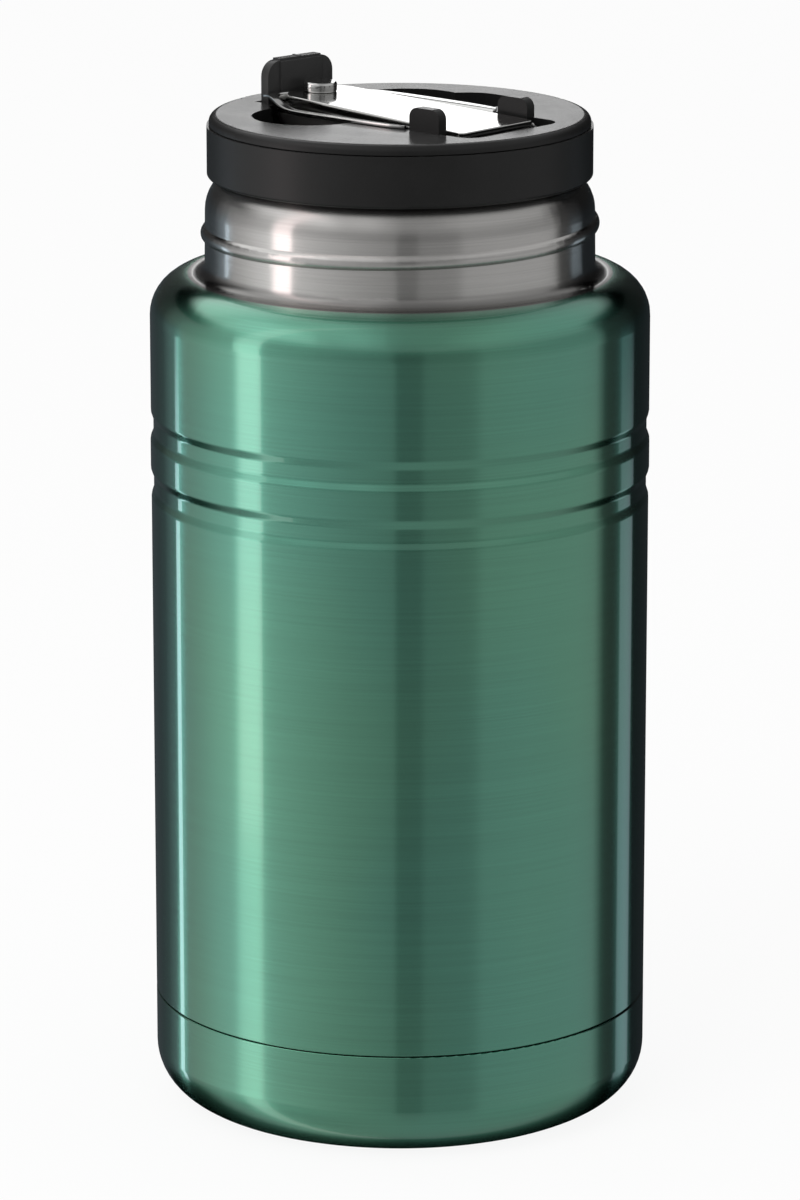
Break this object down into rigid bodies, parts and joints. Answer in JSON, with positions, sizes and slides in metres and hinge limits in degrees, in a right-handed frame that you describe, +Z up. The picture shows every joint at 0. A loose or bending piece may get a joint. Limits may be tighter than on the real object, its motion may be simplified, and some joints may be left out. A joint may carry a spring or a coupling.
{
  "type": "insulated food jar",
  "caption": "Double-walled steel food jar with grooved lacquered body, screw stopper and a folding spoon latched into the stopper's tray.",
  "frame": {"origin": "middle of the foot ring, on the surface that the jar stands on", "axes": "+Z up along the jar's axis; -Y is the side that faces the viewer; the spoon lies 42 degrees clockwise of +X, its handle end at -X +Y"},
  "size_m": [0.1002, 0.1002, 0.211],
  "materials": {
    "lacquered_steel": "translucent glossy green lacquer over fine-brushed steel, neck left bare",
    "bare_steel": "fine brushed",
    "seal_glass": "fused solder glass, opaque",
    "copper": "thin copper foil",
    "black_plastic": "black polypropylene, satin skirt and fine-grained top",
    "white_plastic": "natural polypropylene",
    "foam": "expanded foam",
    "silicone": "soft silicone",
    "spoon_steel": "mirror-polished stainless steel"
  },
  "bodies": {
    "jar": {"outer_shell": "lacquered_steel", "base_cup": "lacquered_steel", "seal_bead": "seal_glass", "seal_cover": "bare_steel", "liner_wall": "bare_steel", "liner_base": "bare_steel", "rim_weld": "bare_steel", "copper_foil": "copper", "getter": "bare_steel"},
    "seal": {"gasket": "silicone"},
    "stopper": {"stopper_collar": "black_plastic", "stopper_top": "black_plastic", "stopper_plug": "white_plastic", "foam_core": "foam", "latch_pin": "bare_steel"},
    "latch": {"spoon_latch": "black_plastic"},
    "spoon": {"spoon_bowl": "spoon_steel", "hinge_pin": "spoon_steel"},
    "handle": {"spoon_handle": "spoon_steel", "handle_stud": "spoon_steel"}
  },
  "joints": [
    {"name": "stopper_lift", "type": "slide", "parent": "jar", "child": "seal", "axis": [0, 0, 1], "range_m": [0, 0.0337]},
    {"name": "stopper_turn", "type": "hinge", "parent": "seal", "child": "stopper", "pos_m": [0, 0, 0.19], "axis": [0, 0, 1], "range_deg": [0, 2880]},
    {"name": "latch_flex", "type": "hinge", "parent": "stopper", "child": "latch", "pos_m": [-0.02073, 0.01867, 0.2011], "axis": [-0.6691, -0.7431, 0], "range_deg": [0, 10], "stiffness_Nm_per_rad": 0.05},
    {"name": "spoon_lift", "type": "slide", "parent": "stopper", "child": "spoon", "axis": [0, 0, 1], "range_m": [0, 0.028]},
    {"name": "spoon_unfold", "type": "hinge", "parent": "spoon", "child": "handle", "pos_m": [0.01798, -0.01619, 0.20075], "axis": [0.6691, 0.7431, 0], "range_deg": [0, 145]}
  ],
  "couplings": [
    {"joint": "stopper_lift", "follows": "stopper_turn", "m_per_rad": 0.00066845}
  ]
}
